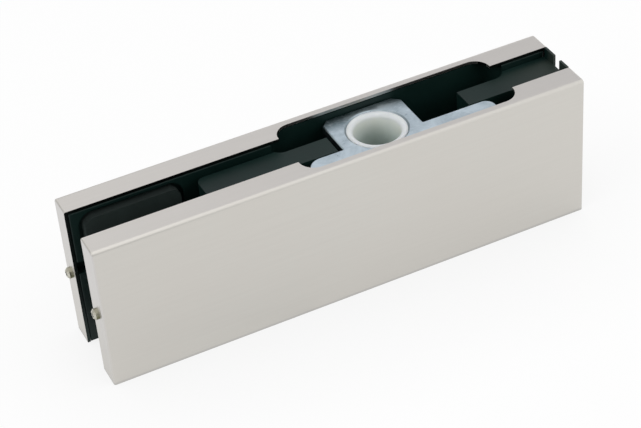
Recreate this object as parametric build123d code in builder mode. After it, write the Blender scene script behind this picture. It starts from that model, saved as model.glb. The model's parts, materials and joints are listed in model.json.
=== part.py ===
from build123d import *
import os

# Glass patch fitting for the top corner of a frameless glass door.
# Two cast clamp plates grip the glass between gaskets. The front plate carries a spine that fills
# the notch in the glass, and a steel insert with a plain bush sits in a channel beside the spine.
# Folded stainless covers hide both plates. All sizes are in millimetres.
# X runs along the fitting, Y across the glass from front (-Y) to rear (+Y), Z up.
# The origin is the middle of the underside.

os.makedirs("parts", exist_ok=True)

# Overall size of the two covers
length = 165.0
thickness = 31.0
height = 51.0

# Cover sheet
sheet = 1.0
bend_inside = 0.3
end_bend = 0.6
flange_depth = 8.6
cutout_open_inset = 3.1
cutout_closed_inset = 4.4
cutout_corner = 5.3

# Clearances
cover_clear = 0.2
cover_top_clear = 0.3
insert_clear = 0.2
thread_clear = 0.05
gasket_clear = 1.4
spine_gap = 0.3
bush_fit = 0.05

# Clamp plates
plate_edge = 0.4
glass_thickness = 10.0
gasket_recess = 1.3
recess_corner = 4.6
border_left = 2.5
border_right = 2.3
border_top = 1.0
border_bottom = 1.7
pad_to_spine = 3.9
strip_below_spine = 1.5
notch_rise = 1.5
notch_height = 4.5
notch_depth = 3.0

# Spine that fills the notch in the glass
spine_depth = 22.0
spine_drop = 3.3
spine_open_land = 25.6
spine_open_gap = 1.3
spine_web = 8.0
spine_corner = 2.5
spine_end_inset = 0.2
spine_root = 1.0

# Upstands at the closed end of the spine
upstand_thickness = 0.8
upstand_gap = 3.4
upstand_gap_centre = -0.45
upstand_gap_deeper = 2.5

# Channel for the insert
channel_open_room = 6.1
channel_wall = 1.8
channel_floor = 2.0
channel_corner = 4.0
web_gap_open_room = 1.7
web_gap_closed_land = 18.1
web_gap_corner = 0.6

# Steel insert
pivot_from_end = 65.0
block_length = 27.5
block_corner = 2.4
bar_left_arm = 13.2
bar_right_arm = 23.8
bar_left_corner = 5.0
bar_right_corner = 3.4
insert_edge = 0.3
insert_corner = 0.4

# Bush for the pivot pin
bush_bore_radius = 7.5
bush_wall = 2.1
bush_lip = 0.6
bush_floor_gap = 0.2
bush_seat_chamfer = 0.5

# Clamp screws, through the rear plate into the spine
clamp_screw_radius = 4.0
clamp_head_radius = 7.2
clamp_head_land = 0.45
clamp_screw_length = 20.0
clamp_hole_radius = 4.3
clamp_thread_spare = 1.5
clamp_socket = 5.0
clamp_socket_depth = 2.6

# Insert screws, through the front plate into the bar
insert_screw_radius = 2.5
insert_head_radius = 4.5
insert_screw_length = 8.0
insert_hole_radius = 2.65
insert_thread_spare = 0.8
insert_socket = 3.0
insert_socket_depth = 1.3
insert_screw_offset = 5.0
screw_tip_chamfer = 0.5

# Cover screws, through the end flanges into the plates
cover_screw_radius = 1.0
cover_head_radius = 1.8
cover_head_height = 1.6
cover_head_edge = 0.6
cover_head_slot = 0.5
cover_screw_length = 6.0
cover_hole_radius = 1.15
cover_screw_inset = 4.5

# Places worked out from the sizes above
half_length = length / 2
outer_y = thickness / 2
flange_edge_y = outer_y - flange_depth
cover_inside_y = outer_y - sheet
cover_inside_x = half_length - sheet
cover_inside_top = height - sheet

plate_end_x = cover_inside_x - cover_clear
plate_outer_y = cover_inside_y - cover_clear
plate_inner_y = flange_edge_y
plate_depth = plate_outer_y - plate_inner_y
plate_top = cover_inside_top - cover_top_clear
recess_floor_y = plate_inner_y + gasket_recess
gasket_face_y = glass_thickness / 2
gasket_depth = recess_floor_y - gasket_face_y

pivot_x = half_length - pivot_from_end
block_left = pivot_x - block_length / 2
block_right = pivot_x + block_length / 2
bar_left = block_left - bar_left_arm
bar_right = block_right + bar_right_arm

channel_left = bar_left - channel_open_room
channel_right = plate_end_x - 2 * (clamp_head_radius + thread_clear + clamp_head_land)
channel_centre = (channel_left + channel_right) / 2
channel_length = channel_right - channel_left
cutout_left = channel_left + cutout_open_inset
cutout_right = channel_right - cutout_closed_inset
web_gap_left = block_left - web_gap_open_room
web_gap_length = channel_right - web_gap_closed_land - web_gap_left

spine_left = channel_left - spine_open_land
spine_top = height - spine_drop
spine_bottom = spine_top - spine_depth
spine_far_y = plate_inner_y - spine_gap
open_land_far_y = plate_inner_y - spine_open_gap
spine_end_x = half_length - spine_end_inset
web_y = spine_web / 2

channel_y = plate_outer_y - channel_wall
channel_level = spine_bottom + channel_floor
channel_mid_y = (channel_y + web_y) / 2
channel_width = channel_y - web_y
above_all = height - channel_level

insert_y = channel_y - insert_clear
bar_inner_y = web_y + insert_clear
insert_height = spine_top - channel_level
insert_mid_z = channel_level + insert_height / 2
bush_radius = bush_bore_radius + bush_wall
bush_bottom = channel_level + bush_floor_gap

recess_left = -plate_end_x + border_left
recess_right = plate_end_x - border_right
recess_top = plate_top - border_top
pad_right = spine_left - pad_to_spine
strip_top = spine_bottom - strip_below_spine

clamp_screw_z = spine_bottom + spine_depth / 2
clamp_screw_xs = [(channel_left + spine_left) / 2, (channel_right + plate_end_x) / 2]
insert_screw_xs = [block_left - insert_screw_offset, (block_right + bar_right) / 2]
cover_screw_y = outer_y - cover_screw_inset
cover_screw_z = height / 2

# The spine's plan, and the channel's plan that is cut out of both plates
with BuildSketch(Plane.XY.offset(spine_bottom)) as spine_plan:
    with BuildLine():
        Polyline(
            (spine_left, -plate_inner_y - spine_root),
            (plate_end_x, -plate_inner_y - spine_root),
            (plate_end_x, -spine_far_y),
            (spine_end_x, -spine_far_y),
            (spine_end_x, spine_far_y),
            (channel_centre, spine_far_y),
            (channel_centre, open_land_far_y),
            (spine_left, open_land_far_y),
            close=True,
        )
    make_face()
    fillet(spine_plan.vertices().group_by(Axis.X)[0].sort_by(Axis.Y)[-1], radius=spine_corner)

with BuildSketch(Plane.XY.offset(channel_level)) as channel_plan:
    with Locations((channel_centre, -channel_mid_y), (channel_centre, channel_mid_y)):
        RectangleRounded(channel_length, channel_width, channel_corner)
    with Locations((web_gap_left + web_gap_length / 2, 0)):
        RectangleRounded(web_gap_length, spine_web + channel_width, web_gap_corner)

# The gasket recess seen from the front: a tall pad beside the notch and a strip below it
with BuildSketch(Plane.XZ.offset(plate_inner_y)) as recess_outline:
    with BuildLine():
        Polyline(
            (recess_left, border_bottom),
            (recess_right, border_bottom),
            (recess_right, strip_top),
            (pad_right, strip_top),
            (pad_right, recess_top),
            (recess_left, recess_top),
            close=True,
        )
    make_face()
    fillet(recess_outline.vertices(), radius=recess_corner)

# Front cover: a folded sheet with a face, a top flange and two end flanges
with BuildPart() as front_cover:
    with BuildSketch(Plane.XZ.offset(flange_edge_y)):
        with Locations((0, height / 2)):
            Rectangle(length, height)
    extrude(amount=flange_depth)
    fillet(front_cover.edges().group_by(Axis.Y)[0].sort_by(Axis.Z)[-1], radius=bend_inside + sheet)
    end_edges = front_cover.edges().group_by(Axis.Y)[0].filter_by(Axis.Z)
    fillet(end_edges + front_cover.edges().filter_by(Axis.Y).group_by(Axis.Z)[-1], radius=end_bend)
    with BuildSketch(Plane.XZ.offset(flange_edge_y)):
        with Locations((0, cover_inside_top / 2)):
            Rectangle(2 * cover_inside_x, cover_inside_top)
    extrude(amount=flange_depth - sheet, mode=Mode.SUBTRACT)
    inner_edges = front_cover.edges(Select.LAST).filter_by(Axis.X).group_by(Axis.Y)[0]
    fillet(inner_edges.sort_by(Axis.Z)[-1], radius=bend_inside)
    with BuildSketch(Plane.XY.offset(cover_inside_top)):
        with Locations(((cutout_left + cutout_right) / 2, -flange_edge_y)):
            RectangleRounded(cutout_right - cutout_left, 2 * (channel_y - flange_edge_y), cutout_corner)
    extrude(amount=2 * sheet, mode=Mode.SUBTRACT)
    with Locations(Plane.YZ.offset(half_length)):
        with Locations((-cover_screw_y, cover_screw_z)):
            Hole(cover_hole_radius)

with BuildPart() as rear_cover:
    add(front_cover.part)
    mirror(about=Plane.XZ, mode=Mode.REPLACE)

# What both clamp plates share, drawn on the front side
with BuildPart() as plate_blank:
    with BuildSketch(Plane.XZ.offset(plate_inner_y)):
        with Locations((0, plate_top / 2)):
            Rectangle(2 * plate_end_x, plate_top)
    extrude(amount=plate_depth)
    fillet(plate_blank.faces().sort_by(Axis.Y)[-1].edges(), radius=plate_edge)
    extrude(recess_outline.sketch, amount=gasket_recess, mode=Mode.SUBTRACT)
    with BuildSketch(Plane.XZ.offset(plate_inner_y)):
        with Locations((-plate_end_x, cover_screw_z + notch_rise)):
            Rectangle(border_left + gasket_clear, notch_height, align=(Align.MIN, Align.MIN))
    extrude(amount=notch_depth, mode=Mode.SUBTRACT)
    for end in (-1, 1):
        with Locations(Plane((end * plate_end_x, -cover_screw_y, cover_screw_z), z_dir=(end, 0, 0))):
            Hole(cover_screw_radius + thread_clear, depth=cover_screw_length)

# Front clamp plate with the spine
with BuildPart() as front_clamp_plate:
    add(plate_blank.part)
    extrude(spine_plan.sketch, amount=spine_depth)
    extrude(channel_plan.sketch, amount=above_all, mode=Mode.SUBTRACT)
    with BuildSketch(Plane.XY.offset(spine_top)):
        with Locations((spine_end_x, 0)):
            Rectangle(upstand_thickness, 2 * spine_far_y, align=(Align.MAX, Align.CENTER))
    extrude(amount=height - spine_top)
    with BuildSketch(Plane.XY.offset(height)):
        with Locations((spine_end_x, upstand_gap_centre)):
            Rectangle(2 * upstand_thickness, upstand_gap)
    extrude(amount=spine_top - upstand_gap_deeper - height, mode=Mode.SUBTRACT)
    with Locations(*[Plane((x, spine_far_y, clamp_screw_z), z_dir=(0, 1, 0)) for x in clamp_screw_xs]):
        Hole(
            clamp_screw_radius + thread_clear,
            depth=clamp_screw_length - (plate_outer_y - spine_far_y) + clamp_thread_spare,
        )
    with Locations(*[Plane((x, -plate_outer_y, insert_mid_z), z_dir=(0, -1, 0)) for x in insert_screw_xs]):
        CounterSinkHole(insert_hole_radius, insert_head_radius + thread_clear, depth=channel_wall)

# Rear clamp plate
with BuildPart() as rear_clamp_plate:
    add(plate_blank.part)
    mirror(about=Plane.XZ, mode=Mode.REPLACE)
    extrude(channel_plan.sketch, amount=above_all, mode=Mode.SUBTRACT)
    with Locations(*[Plane((x, plate_outer_y, clamp_screw_z), z_dir=(0, 1, 0)) for x in clamp_screw_xs]):
        CounterSinkHole(clamp_hole_radius, clamp_head_radius + thread_clear, depth=plate_depth)

# Steel insert: a block round the pivot on a bar that lies in the front side of the channel
with BuildPart() as pivot_insert:
    with BuildSketch(Plane.XY.offset(channel_level)) as insert_plan:
        with BuildLine():
            Polyline(
                (bar_left, -insert_y),
                (bar_right, -insert_y),
                (bar_right, -bar_inner_y),
                (block_right, -bar_inner_y),
                (block_right, insert_y - block_corner),
                (block_right - block_corner, insert_y),
                (block_left + block_corner, insert_y),
                (block_left, insert_y - block_corner),
                (block_left, -bar_inner_y),
                (bar_left, -bar_inner_y),
                close=True,
            )
        make_face()
        fillet(insert_plan.vertices().group_by(Axis.X)[0].sort_by(Axis.Y)[-1], radius=bar_left_corner)
        fillet(insert_plan.vertices().group_by(Axis.X)[-1], radius=bar_right_corner)
        bar_level = insert_plan.vertices().filter_by_position(Axis.Y, -bar_inner_y - insert_corner, 0)
        beside_block = (block_left - insert_corner, block_right + insert_corner)
        fillet(bar_level.filter_by_position(Axis.X, *beside_block), radius=insert_corner)
    extrude(amount=insert_height)
    chamfer(pivot_insert.faces().sort_by(Axis.Z)[-1].edges(), length=insert_edge)
    with Locations((pivot_x, 0, spine_top)):
        Hole(bush_radius + bush_fit)
    seat_edge = pivot_insert.faces().sort_by(Axis.Z)[-1].edges().filter_by(GeomType.CIRCLE)
    chamfer(seat_edge.sort_by(SortBy.RADIUS)[-1], length=bush_seat_chamfer)
    with Locations(*[Plane((x, -insert_y, insert_mid_z), z_dir=(0, -1, 0)) for x in insert_screw_xs]):
        CounterSinkHole(
            insert_screw_radius + thread_clear,
            insert_screw_radius + thread_clear + insert_clear,
            depth=insert_screw_length - channel_wall - insert_clear + insert_thread_spare,
        )

# Plain bush for the pivot pin
with BuildPart() as pivot_bush:
    with BuildSketch(Plane.XY.offset(bush_bottom)):
        with Locations((pivot_x, 0)):
            Circle(bush_radius)
            Circle(bush_bore_radius, mode=Mode.SUBTRACT)
    extrude(amount=spine_top - bush_bottom)
    chamfer(pivot_bush.faces().sort_by(Axis.Z)[-1].edges(), length=bush_lip)

# Gaskets, one glued in each recess
with BuildPart() as front_gasket:
    with BuildSketch(Plane.XZ.offset(gasket_face_y)):
        add(recess_outline.sketch.moved(Location((0, plate_inner_y - gasket_face_y, 0))))
        offset(amount=-gasket_clear, mode=Mode.REPLACE)
    extrude(amount=gasket_depth)

with BuildPart() as rear_gasket:
    add(front_gasket.part)
    mirror(about=Plane.XZ, mode=Mode.REPLACE)


def countersunk_screw(head_radius, shank_radius, screw_length, socket, socket_depth):
    """Return one countersunk screw with a hexagon socket, its flat head on XY and its shank down."""
    with BuildPart() as screw:
        with BuildSketch(Plane.XZ):
            with BuildLine():
                Polyline(
                    (0, 0),
                    (head_radius, 0),
                    (shank_radius, shank_radius - head_radius),
                    (shank_radius, screw_tip_chamfer - screw_length),
                    (shank_radius - screw_tip_chamfer, -screw_length),
                    (0, -screw_length),
                    close=True,
                )
            make_face()
        revolve(axis=Axis.Z)
        with BuildSketch():
            RegularPolygon(socket / 2, 6, major_radius=False)
        extrude(amount=-socket_depth, mode=Mode.SUBTRACT)
    return screw.part


clamp_screw = countersunk_screw(
    clamp_head_radius, clamp_screw_radius, clamp_screw_length, clamp_socket, clamp_socket_depth
)
insert_screw = countersunk_screw(
    insert_head_radius, insert_screw_radius, insert_screw_length, insert_socket, insert_socket_depth
)

with BuildPart() as clamp_screws:
    with Locations(*[Plane((x, plate_outer_y, clamp_screw_z), z_dir=(0, 1, 0)) for x in clamp_screw_xs]):
        add(clamp_screw)

with BuildPart() as insert_screws:
    with Locations(*[Plane((x, -plate_outer_y, insert_mid_z), z_dir=(0, -1, 0)) for x in insert_screw_xs]):
        add(insert_screw)

# Cover screw: a small pan head with a cross of two slots, standing on XY with its shank down
with BuildPart() as cover_screw:
    Cylinder(cover_head_radius, cover_head_height, align=(Align.CENTER, Align.CENTER, Align.MIN))
    chamfer(cover_screw.edges().sort_by(Axis.Z)[-1], length=cover_head_edge)
    Cylinder(cover_screw_radius, cover_screw_length, align=(Align.CENTER, Align.CENTER, Align.MAX))
    with BuildSketch(Plane.XY.offset(cover_head_height)):
        Rectangle(2 * cover_screw_radius, cover_head_slot)
        Rectangle(cover_head_slot, 2 * cover_screw_radius)
    extrude(amount=-cover_head_edge, mode=Mode.SUBTRACT)

with BuildPart() as cover_screws:
    for end in (-1, 1):
        for side in (-1, 1):
            place = (end * half_length, side * cover_screw_y, cover_screw_z)
            with Locations(Plane(place, z_dir=(end, 0, 0))):
                add(cover_screw.part)

pieces = {
    "front_cover": front_cover,
    "rear_cover": rear_cover,
    "front_clamp_plate": front_clamp_plate,
    "rear_clamp_plate": rear_clamp_plate,
    "pivot_insert": pivot_insert,
    "pivot_bush": pivot_bush,
    "front_gasket": front_gasket,
    "rear_gasket": rear_gasket,
    "clamp_screws": clamp_screws,
    "insert_screws": insert_screws,
    "cover_screws": cover_screws,
}
for name, piece in pieces.items():
    piece.part.label = name
    export_step(piece.part, f"parts/{name}.step")
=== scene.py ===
import json
from math import cos, pi, radians, sin

import bpy
from mathutils import Matrix, Vector


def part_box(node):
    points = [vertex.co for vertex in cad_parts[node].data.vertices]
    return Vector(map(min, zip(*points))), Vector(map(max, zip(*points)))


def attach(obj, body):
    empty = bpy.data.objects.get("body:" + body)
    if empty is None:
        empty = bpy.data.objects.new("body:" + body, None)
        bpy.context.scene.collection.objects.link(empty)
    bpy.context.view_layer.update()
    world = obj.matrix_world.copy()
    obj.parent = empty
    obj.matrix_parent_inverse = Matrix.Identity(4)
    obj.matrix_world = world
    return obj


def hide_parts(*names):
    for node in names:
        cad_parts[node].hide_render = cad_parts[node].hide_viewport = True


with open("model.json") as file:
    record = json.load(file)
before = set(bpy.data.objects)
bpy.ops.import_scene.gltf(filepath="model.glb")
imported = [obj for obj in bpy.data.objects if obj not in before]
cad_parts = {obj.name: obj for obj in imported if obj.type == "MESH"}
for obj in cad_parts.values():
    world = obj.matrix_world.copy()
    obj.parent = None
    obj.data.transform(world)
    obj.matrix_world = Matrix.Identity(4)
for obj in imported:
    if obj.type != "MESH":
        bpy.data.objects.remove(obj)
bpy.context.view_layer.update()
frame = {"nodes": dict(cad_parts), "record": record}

# Lengths are in metres. Colours and levels are linear, where 1 is white.

# Camera, found from the corners of the two covers in the photograph
CAMERA_EYE = Vector((-0.19516, -0.44489, 0.40301))
CAMERA_BACK = Vector((-0.31083958, -0.72267987, 0.61734315))
CAMERA_UP = Vector((0.3225964, 0.53074437, 0.78373591))
CAMERA_LENS = 110.9
SENSOR_WIDTH = 36.0
CLIP_START = 0.05
CLIP_END = 20.0

# Floor: how much of it is plain white where it is seen, and how dark its contact shadow is there
FLOOR_LEVEL = 0.0
FLOOR_HALF_SIZE = 3.0
FLOOR_SHARE = 0.94
SHADOW_REACH = 0.06
SHADOW_SEEN = 0.13
SHADOW_MIRRORED = 0.27

# Card behind the object, with its brightness on either side
CARD_PLACE = Vector((0.68, 0.97, 0.92))
CARD_SIZE = 1.2
CARD_LEFT = 1.04
CARD_RIGHT = 0.77

# World: its light on plain surfaces, and what mirroring surfaces see of it low down and overhead
AROUND_STRENGTH = 0.42
HORIZON_LEFT = 0.58
HORIZON_RIGHT = 1.20
ZENITH_LEFT = 1.60
ZENITH_RIGHT = 0.97

# Soft lamps: name, place, target, width, depth, watts, and whether mirroring surfaces see them
SOFTBOXES = (
    ("top_softbox", (0.30, -0.25, 1.10), (0.0, 0.0, 0.0), 1.5, 1.2, 2.2, False),
    ("front_softbox", (0.80, -0.75, 0.74), (0.0, 0.0, 0.0), 0.9, 0.7, 4.4, False),
    ("side_softbox", (-1.00, -0.10, 0.80), (0.0, 0.0, 0.0), 0.7, 0.7, 4.8, False),
    ("left_softbox", (-1.00, -0.30, 0.60), (0.0, 0.0, 0.02), 0.7, 0.7, 1.2, True),
)

# The bush's moulded lip: the sizes of its round edges, and how finely they are turned
LIP_INSIDE = 0.0014
LIP_OUTSIDE = 0.0005
LIP_STEPS = 6
TURNED_SEGMENTS = 96
SHARP_DEGREES = 40

# The covers' faces that look inward: the flanges' cut edges lie this far from the middle of the glass,
# and the cut-out's edge lies further out
FLANGE_EDGE_NEAR = 0.003
FLANGE_EDGE_FAR = 0.009

# Patches on the finishes: two strengths and the places where they hold, along X and along Y
# Lighter colour over the near side of the closed end
LIGHTER_CLOSED_END = (0.0, 0.8, 0.058, 0.080), (1.0, 0.0, 0.0035, 0.0055)
# Painted shade in the insert's two far corners, for the dark they mirror
PAINTED_SHADE_OPEN_CORNER = (0.9, 0.0, 0.010, 0.015), (0.0, 1.0, 0.0045, 0.0085)
PAINTED_SHADE_CLOSED_CORNER = (0.0, 0.8, 0.0245, 0.0295), (0.0, 1.0, 0.0050, 0.0095)

# The shaded ring in the insert round the bush, just outside the bush's own radius
SEAT_RADIUS = 0.01016


def rgb(red, green, blue):
    return (red, green, blue, 1.0)


WHITE = rgb(1, 1, 1)


class Graph:
    """Adds shader nodes to one material, or to the world, and links them."""

    def __init__(self, name, owners=bpy.data.materials, output="ShaderNodeOutputMaterial"):
        self.owner = owners.new(name)
        self.owner.use_nodes = True
        self.nodes = self.owner.node_tree.nodes
        self.links = self.owner.node_tree.links
        self.nodes.clear()
        self.output = self.nodes.new(output)

    def node(self, kind, settings=None, **inputs):
        """Add a node. Its inputs go by name, or by i and a number, and are plain values or sockets."""
        made = self.nodes.new(kind)
        for key, value in (settings or {}).items():
            setattr(made, key, value)
        for key, value in inputs.items():
            numbered = key[0] == "i" and key[1:].isdigit()
            socket = made.inputs[int(key[1:]) if numbered else key.replace("_", " ")]
            if isinstance(value, bpy.types.NodeSocket):
                self.links.new(value, socket)
            else:
                socket.default_value = value
        return made

    def math(self, operation, a, b=0.0):
        return self.node("ShaderNodeMath", {"operation": operation}, i0=a, i1=b).outputs[0]

    def vector(self, operation, a, b):
        return self.node("ShaderNodeVectorMath", {"operation": operation}, i0=a, i1=b).outputs[0]

    def place(self):
        return self.node("ShaderNodeTexCoord").outputs["Object"]

    def split(self, vector):
        """A vector's outputs X, Y and Z."""
        return self.node("ShaderNodeSeparateXYZ", Vector=vector).outputs

    def normal(self, kind="Normal"):
        return self.split(self.node("ShaderNodeNewGeometry").outputs[kind])

    def total(self, *shares):
        """The sum of values, each times its share."""
        first, *others = [self.math("MULTIPLY", value, share) for value, share in shares]
        for other in others:
            first = self.math("ADD", first, other)
        return first

    def choose(self, factor, a, b):
        """The number a where the factor is 0, and b where it is 1."""
        return self.node("ShaderNodeMix", {"data_type": "FLOAT"}, i0=factor, i2=a, i3=b).outputs[0]

    def mix(self, factor, a, b):
        """The colour a where the factor is 0, and b where it is 1."""
        return self.node("ShaderNodeMix", {"data_type": "RGBA"}, i0=factor, i6=a, i7=b).outputs[2]

    def blend(self, factor, a, b):
        """The shader a where the factor is 0, and b where it is 1."""
        return self.node("ShaderNodeMixShader", i0=factor, i1=a.outputs[0], i2=b.outputs[0])

    def spread(self, value, low, high, from_low=0.3, from_high=0.7, smooth=False):
        """Map a range, unless given a texture's usual one, onto low to high, and hold it there."""
        settings = {"interpolation_type": "SMOOTHSTEP" if smooth else "LINEAR"}
        made = self.node(
            "ShaderNodeMapRange", settings, i0=value, i1=from_low, i2=from_high, i3=low, i4=high
        )
        return made.outputs[0]

    def patch(self, place, along_x, along_y):
        """A patch of the object, as a fade along X times a fade along Y."""
        at = self.split(place)
        return self.math("MULTIPLY", self.spread(at["X"], *along_x), self.spread(at["Y"], *along_y))

    def noise(self, vector, scale, detail=2.0, roughness=0.5, distortion=0.0):
        made = self.node(
            "ShaderNodeTexNoise",
            Vector=vector, Scale=scale, Detail=detail, Roughness=roughness, Distortion=distortion,
        )
        return made.outputs["Fac"]

    def streaks(self, along, across, along_scale, across_scale, detail=2.0, roughness=0.5):
        """Noise over two numbers, drawn out along the one with the smaller scale."""
        scaled = self.node(
            "ShaderNodeCombineXYZ",
            X=self.math("MULTIPLY", along, along_scale), Y=self.math("MULTIPLY", across, across_scale),
        )
        return self.noise(scaled.outputs[0], 1.0, detail, roughness)

    def bump(self, height, strength, distance, normal=None):
        made = self.node("ShaderNodeBump", Height=height, Strength=strength, Distance=distance)
        if normal is not None:
            self.links.new(normal, made.inputs["Normal"])
        return made.outputs["Normal"]

    def principled(self, colour, roughness, normal, **inputs):
        return self.node(
            "ShaderNodeBsdfPrincipled",
            Base_Color=colour, Roughness=roughness, Normal=normal, **inputs,
        )

    def finish(self, shader):
        self.links.new(shader.outputs[0], self.output.inputs["Surface"])
        return self.owner


def pivot_radius(g, place):
    """How far each point is from the pivot's upright axis."""
    low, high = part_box("pivot_bush")
    middle = (low + high) / 2
    from_middle = g.vector("SUBTRACT", place, (middle.x, middle.y, 0.0))
    from_axis = g.vector("MULTIPLY", from_middle, (1.0, 1.0, 0.0))
    return g.node("ShaderNodeVectorMath", {"operation": "LENGTH"}, i0=from_axis).outputs["Value"]


def satin_stainless():
    """Stainless sheet with a satin grain along it and round its end bends, with painted shade along its
    foot and painted dark reflections on its cut edges.
    """
    g = Graph("satin_stainless_finish")
    place = g.place()
    at = g.split(place)
    normal = g.normal("True Normal")
    on_end = g.math("GREATER_THAN", g.math("ABSOLUTE", normal["X"]), 0.7)
    along = g.choose(on_end, at["X"], at["Y"])
    across = g.choose(on_end, g.math("ADD", at["Y"], at["Z"]), at["Z"])
    grain = g.streaks(along, across, 90.0, 5200.0, roughness=0.6)
    broad = g.streaks(along, across, 25.0, 900.0, detail=3.0)
    cloud = g.noise(place, 28.0)

    tone = g.total((grain, 0.5), (broad, 0.5))
    colour = g.mix(g.spread(tone, 0.0, 1.0), rgb(0.634, 0.616, 0.577), rgb(0.664, 0.646, 0.605))
    colour = g.mix(g.spread(cloud, 0.0, 0.35), colour, rgb(0.655, 0.625, 0.580))
    # Painted shade along the foot of the sheet, for the darker floor it mirrors there
    painted_foot_shade = g.spread(at["Z"], 0.7, 0.0, 0.0003, 0.0011)
    colour = g.mix(painted_foot_shade, colour, rgb(0.50, 0.495, 0.48))

    # Below zero on the faces that look inward, and then as far as they are from the middle
    outward = g.math("MULTIPLY", normal["Y"], at["Y"])
    # Painted shade on the cut-out's edge
    painted_cutout_edge_shade = g.math("LESS_THAN", outward, -FLANGE_EDGE_FAR)
    colour = g.mix(painted_cutout_edge_shade, colour, rgb(0.44, 0.43, 0.41))
    edge_middle = (FLANGE_EDGE_NEAR + FLANGE_EDGE_FAR) / 2
    edge_reach = (FLANGE_EDGE_FAR - FLANGE_EDGE_NEAR) / 2
    off_edge = g.math("ABSOLUTE", g.math("ADD", outward, edge_middle))
    # Painted dark reflection on the flanges' cut edges, for the dark inside of the fitting that they
    # mirror
    painted_edge_reflection = g.mix(g.spread(grain, 0.0, 1.0), rgb(0.022, 0.032, 0.030), rgb(0.036, 0.046, 0.044))
    colour = g.mix(g.math("LESS_THAN", off_edge, edge_reach), colour, painted_edge_reflection)

    roughness = g.spread(g.total((grain, 0.7), (cloud, 0.3)), 0.34, 0.42)
    return g.finish(g.principled(colour, roughness, g.bump(grain, 0.06, 0.00004), Metallic=1.0))


def black_casting():
    """Satin black paint over a casting: orange peel, uneven gloss, and a lighter patch over the near
    side of the closed end.
    """
    g = Graph("black_casting_finish")
    place = g.place()
    peel = g.noise(place, 900.0)
    fine = g.noise(place, 4200.0)
    patch = g.noise(place, 70.0, detail=3.0)
    colour = g.mix(g.spread(patch, 0.0, 1.0), rgb(0.0028, 0.0115, 0.0100), rgb(0.0055, 0.0180, 0.0155))
    # Lighter colour over the near side of the closed end
    colour = g.mix(g.patch(place, *LIGHTER_CLOSED_END), colour, rgb(0.024, 0.034, 0.028))
    roughness = g.spread(g.total((patch, 0.6), (fine, 0.4)), 0.36, 0.52)
    normal = g.bump(fine, 0.12, 0.00003, g.bump(peel, 0.25, 0.00006))
    return g.finish(g.principled(colour, roughness, normal, Specular_IOR_Level=0.24))


def zinc_steel():
    """Bluish zinc plating over a milled block: bright and dim patches, painted shade in its far corners
    and round the bush, specks and fine marks.
    """
    g = Graph("zinc_steel_finish")
    place = g.place()
    patch = g.noise(place, 160.0, detail=4.0, roughness=0.6, distortion=0.6)
    speck = g.noise(place, 900.0, detail=3.0, roughness=0.6)
    marks = g.noise(g.vector("MULTIPLY", place, (120.0, 2600.0, 2600.0)), 1.0)
    colour = g.mix(g.spread(patch, 0.0, 1.0, 0.35, 0.65), rgb(0.42, 0.51, 0.55), rgb(0.59, 0.69, 0.74))
    # Painted shade in the insert's two far corners, for the dark they mirror
    painted_corner_shade = g.math("MAXIMUM", g.patch(place, *PAINTED_SHADE_OPEN_CORNER), g.patch(place, *PAINTED_SHADE_CLOSED_CORNER))
    colour = g.mix(painted_corner_shade, colour, rgb(0.20, 0.27, 0.30))
    colour = g.mix(g.spread(speck, 0.0, 0.25, 0.5, 0.7), colour, rgb(0.75, 0.80, 0.84))
    # Painted shade in the ring round the bush's seat
    painted_seat_shade = g.math("LESS_THAN", pivot_radius(g, place), SEAT_RADIUS)
    colour = g.mix(g.math("MULTIPLY", painted_seat_shade, 0.40), colour, rgb(0.10, 0.12, 0.14))
    roughness = g.spread(g.total((patch, 0.5), (speck, 0.5)), 0.24, 0.42)
    normal = g.bump(speck, 0.10, 0.00006, g.bump(marks, 0.12, 0.00004))
    return g.finish(g.principled(colour, roughness, normal, Metallic=1.0))


def white_nylon():
    """White nylon, a little translucent, with turning rings about the pivot, painted light just below
    its lip and painted shade deeper down.
    """
    g = Graph("white_nylon_finish")
    place = g.place()
    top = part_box("pivot_bush")[1].z
    height = g.split(place)["Z"]
    rings = g.streaks(pivot_radius(g, place), height, 5200.0, 3200.0)
    cloud = g.noise(place, 260.0)
    colour = g.mix(g.spread(cloud, 0.0, 1.0), rgb(0.75, 0.785, 0.79), rgb(0.80, 0.835, 0.84))
    # Painted light just below the lip, and painted shade deeper down the bore
    painted_lip_light = g.spread(height, 0.8, 0.0, top - 0.0022, top - 0.0006)
    colour = g.mix(painted_lip_light, colour, rgb(0.82, 0.85, 0.785))
    painted_depth_shade = g.spread(height, 0.60, 0.0, top - 0.0080, top - 0.0012)
    colour = g.mix(painted_depth_shade, colour, rgb(0.36, 0.455, 0.43))
    shader = g.principled(
        colour, g.spread(rings, 0.30, 0.46), g.bump(rings, 0.10, 0.00004),
        Subsurface_Weight=0.8, Subsurface_Radius=(1.0, 1.0, 0.9), Subsurface_Scale=0.003,
    )
    return g.finish(shader)


def gasket_rubber():
    """Matt black sheet with a fine pressed grain, and painted shade on the edges that look up."""
    g = Graph("gasket_rubber_finish")
    place = g.place()
    grain = g.noise(place, 2600.0, detail=3.0, roughness=0.6)
    patch = g.noise(place, 110.0, detail=3.0)
    colour = g.mix(g.spread(patch, 0.0, 1.0), rgb(0.0100, 0.0180, 0.0160), rgb(0.0165, 0.0270, 0.0245))
    # Painted shade on the faces that look up
    painted_top_shade = g.spread(g.normal()["Z"], 0.0, 0.8, 0.2, 0.6)
    colour = g.mix(painted_top_shade, colour, rgb(0.0030, 0.0065, 0.0058))
    return g.finish(g.principled(colour, g.spread(grain, 0.62, 0.82), g.bump(grain, 0.35, 0.00005)))


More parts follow.
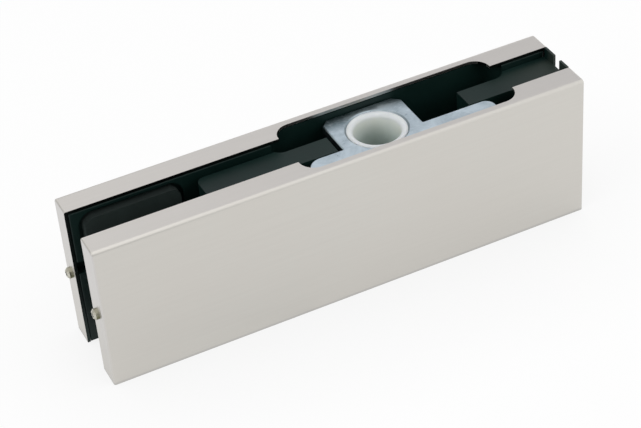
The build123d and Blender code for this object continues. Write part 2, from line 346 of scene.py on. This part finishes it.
def plated_screw(name, dark, light, smooth, rough):
    """Plating on a screw: painted light on its ends and the top of its head, painted shade on its side,
    mixed with random patches.
    """
    g = Graph(name)
    place = g.place()
    patch = g.noise(place, 700.0, detail=3.0)
    fine = g.noise(place, 5200.0)
    normal = g.normal()
    # Painted light on faces that look along X or up, painted shade on the rest, mixed with random
    # patches
    shine = g.total((g.math("ABSOLUTE", normal["X"]), 0.75), (normal["Z"], 0.5), (patch, 0.4))
    colour = g.mix(g.spread(shine, 0.0, 1.0, 0.15, 0.85), dark, light)
    roughness = g.spread(fine, smooth, rough)
    return g.finish(g.principled(colour, roughness, g.bump(fine, 0.12, 0.00003), Metallic=1.0))


def arc(radius, height, size, first, last):
    """Points of a round edge in a turned profile, as (radius, height), between two angles in degrees."""
    points = []
    for step in range(LIP_STEPS + 1):
        angle = radians(first + (last - first) * step / LIP_STEPS)
        points.append((radius + size * cos(angle), height + size * sin(angle)))
    return points


def turned(name, profile, middle):
    """A ring made by turning a closed profile of (radius, height) points about an upright axis."""
    corners = []
    for segment in range(TURNED_SEGMENTS):
        angle = 2 * pi * segment / TURNED_SEGMENTS
        for radius, height in profile:
            corners.append((middle.x + radius * cos(angle), middle.y + radius * sin(angle), height))
    count = len(profile)
    faces = []
    for segment in range(TURNED_SEGMENTS):
        here = segment * count
        there = (segment + 1) % TURNED_SEGMENTS * count
        for point in range(count):
            after = (point + 1) % count
            faces.append((here + point, there + point, there + after, here + after))
    mesh = bpy.data.meshes.new(name)
    mesh.from_pydata(corners, [], faces)
    mesh.polygons.foreach_set("use_smooth", [True] * len(mesh.polygons))
    mesh.set_sharp_from_angle(angle=radians(SHARP_DEGREES))
    ring = bpy.data.objects.new(name, mesh)
    bpy.context.scene.collection.objects.link(ring)
    return ring


def bush_with_round_lip(finish):
    """The bush with its moulded lip, rounded inside and outside."""
    low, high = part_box("pivot_bush")
    outside = (high.x - low.x) / 2
    bore = next(mount for mount in frame["record"]["mounts"] if mount["name"] == "pivot_bore")
    inside = bore["dims"]["r_mm"] / 1000
    profile = [(inside, low.z), (outside, low.z)]
    profile += arc(outside - LIP_OUTSIDE, high.z - LIP_OUTSIDE, LIP_OUTSIDE, 0, 90)
    profile += arc(inside + LIP_INSIDE, high.z - LIP_INSIDE, LIP_INSIDE, 90, 180)
    bush = turned("bush", profile, (low + high) / 2)
    bush.data.materials.append(finish)
    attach(bush, "root")
    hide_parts("pivot_bush")


def dress(finishes):
    """Give each CAD node the finish of its material slot."""
    slots = {part["node"]: part["material_slot"] for part in frame["record"]["subparts"]}
    for name, node in frame["nodes"].items():
        for slot in node.material_slots:
            slot.material = finishes[slots[name]]


def studio_floor():
    """A plain white floor that keeps the object's soft shadow."""
    bpy.ops.mesh.primitive_plane_add(size=2 * FLOOR_HALF_SIZE, location=(0, 0, FLOOR_LEVEL))
    floor = bpy.context.object
    floor.name = "studio_floor"
    g = Graph("studio_floor_finish")
    place = g.place()
    grain = g.spread(g.noise(place, 400.0), 0.0, 1.0)
    off_white = g.mix(grain, rgb(0.90, 0.90, 0.90), rgb(0.93, 0.93, 0.93))
    paper = g.node("ShaderNodeBsdfDiffuse", Color=off_white)

    path = g.node("ShaderNodeLightPath").outputs
    seen = g.math("MAXIMUM", path["Is Camera Ray"], path["Is Glossy Ray"])
    seen = g.math("MAXIMUM", seen, path["Is Transmission Ray"])
    openness = g.node("ShaderNodeAmbientOcclusion", {"samples": 8}, Distance=SHADOW_REACH).outputs["AO"]
    shadow = g.total((path["Is Glossy Ray"], SHADOW_MIRRORED), (path["Is Camera Ray"], SHADOW_SEEN))
    shade = g.math("MULTIPLY", g.math("SUBTRACT", 1.0, openness), shadow)

    # Mirroring surfaces see the floor beyond the object's open end a little cooler
    beyond = g.spread(g.split(place)["X"], 1.0, 0.0, -0.11, -0.08)
    cool = g.math("MULTIPLY", beyond, path["Is Glossy Ray"])
    white = g.node(
        "ShaderNodeEmission",
        Color=g.mix(cool, WHITE, rgb(0.975, 0.985, 1.03)), Strength=g.math("SUBTRACT", 1.0, shade),
    )
    floor.data.materials.append(g.finish(g.blend(g.math("MULTIPLY", seen, FLOOR_SHARE), paper, white)))


def studio_card():
    """A pale grey card behind and above the object, which its upward faces mirror."""
    bpy.ops.mesh.primitive_plane_add(size=CARD_SIZE, location=CARD_PLACE)
    card = bpy.context.object
    card.name = "studio_card"
    card.rotation_mode = "QUATERNION"
    card.rotation_quaternion = CARD_PLACE.to_track_quat("Z", "Y")
    g = Graph("studio_card_finish")
    place = g.place()
    shine = g.spread(g.split(place)["X"], CARD_RIGHT, CARD_LEFT, 0.22, 0.5)
    paper = g.mix(g.noise(place, 60.0), rgb(0.96, 0.95, 0.995), rgb(0.975, 0.965, 1.01))
    card.data.materials.append(g.finish(g.node("ShaderNodeEmission", Color=paper, Strength=shine)))


def studio_world():
    """White surroundings. Mirroring surfaces see them lighter overhead, and darker low on the left."""
    g = Graph("studio_world", bpy.data.worlds, "ShaderNodeOutputWorld")
    towards = g.split(g.node("ShaderNodeTexCoord").outputs["Generated"])
    low = g.spread(towards["X"], HORIZON_LEFT, HORIZON_RIGHT, 0.20, 0.42)
    high = g.math(
        "MINIMUM",
        g.spread(towards["X"], ZENITH_LEFT, ZENITH_RIGHT, 0.20, 0.29),
        g.spread(towards["X"], ZENITH_RIGHT, ZENITH_LEFT, -0.10, 0.10),
    )
    mirrored = g.spread(towards["Z"], low, high, 0.30, 0.85, smooth=True)
    around, plain, reflected = [
        g.node("ShaderNodeBackground", Color=WHITE, Strength=strength)
        for strength in (AROUND_STRENGTH, 1.0, mirrored)
    ]
    path = g.node("ShaderNodeLightPath").outputs
    seen = g.math("MAXIMUM", path["Is Camera Ray"], path["Is Transmission Ray"])
    lit = g.blend(path["Is Glossy Ray"], g.blend(seen, around, plain), reflected)
    bpy.context.scene.world = g.finish(lit)


def softbox(name, place, target, width, depth, power, mirrored):
    light = bpy.data.lights.new(name, "AREA")
    light.shape = "RECTANGLE"
    light.size = width
    light.size_y = depth
    light.energy = power
    lamp = bpy.data.objects.new(name, light)
    bpy.context.scene.collection.objects.link(lamp)
    lamp.location = place
    lamp.rotation_mode = "QUATERNION"
    lamp.rotation_quaternion = (Vector(target) - Vector(place)).to_track_quat("-Z", "Y")
    lamp.visible_glossy = mirrored


def studio_camera():
    camera = bpy.data.cameras.new("camera")
    camera.lens = CAMERA_LENS
    camera.sensor_width = SENSOR_WIDTH
    camera.sensor_fit = "HORIZONTAL"
    camera.clip_start = CLIP_START
    camera.clip_end = CLIP_END
    holder = bpy.data.objects.new("camera", camera)
    bpy.context.scene.collection.objects.link(holder)
    right = CAMERA_UP.cross(CAMERA_BACK)
    turn = Matrix((right, CAMERA_UP, CAMERA_BACK)).transposed()
    holder.matrix_world = Matrix.Translation(CAMERA_EYE) @ turn.to_4x4()
    bpy.context.scene.camera = holder


finishes = {
    "satin_stainless": satin_stainless(),
    "black_casting": black_casting(),
    "zinc_steel": zinc_steel(),
    "white_nylon": white_nylon(),
    "gasket_rubber": gasket_rubber(),
    "black_screw": plated_screw(
        "black_screw_finish", rgb(0.030, 0.031, 0.034), rgb(0.055, 0.055, 0.058), 0.35, 0.5
    ),
    "small_screw": plated_screw(
        "small_screw_finish", rgb(0.17, 0.17, 0.10), rgb(0.60, 0.58, 0.485), 0.24, 0.38
    ),
}
dress(finishes)
bush_with_round_lip(finishes["white_nylon"])

studio_floor()
studio_card()
studio_world()
for lamp in SOFTBOXES:
    softbox(*lamp)
studio_camera()
bpy.context.scene.view_settings.view_transform = "Standard"
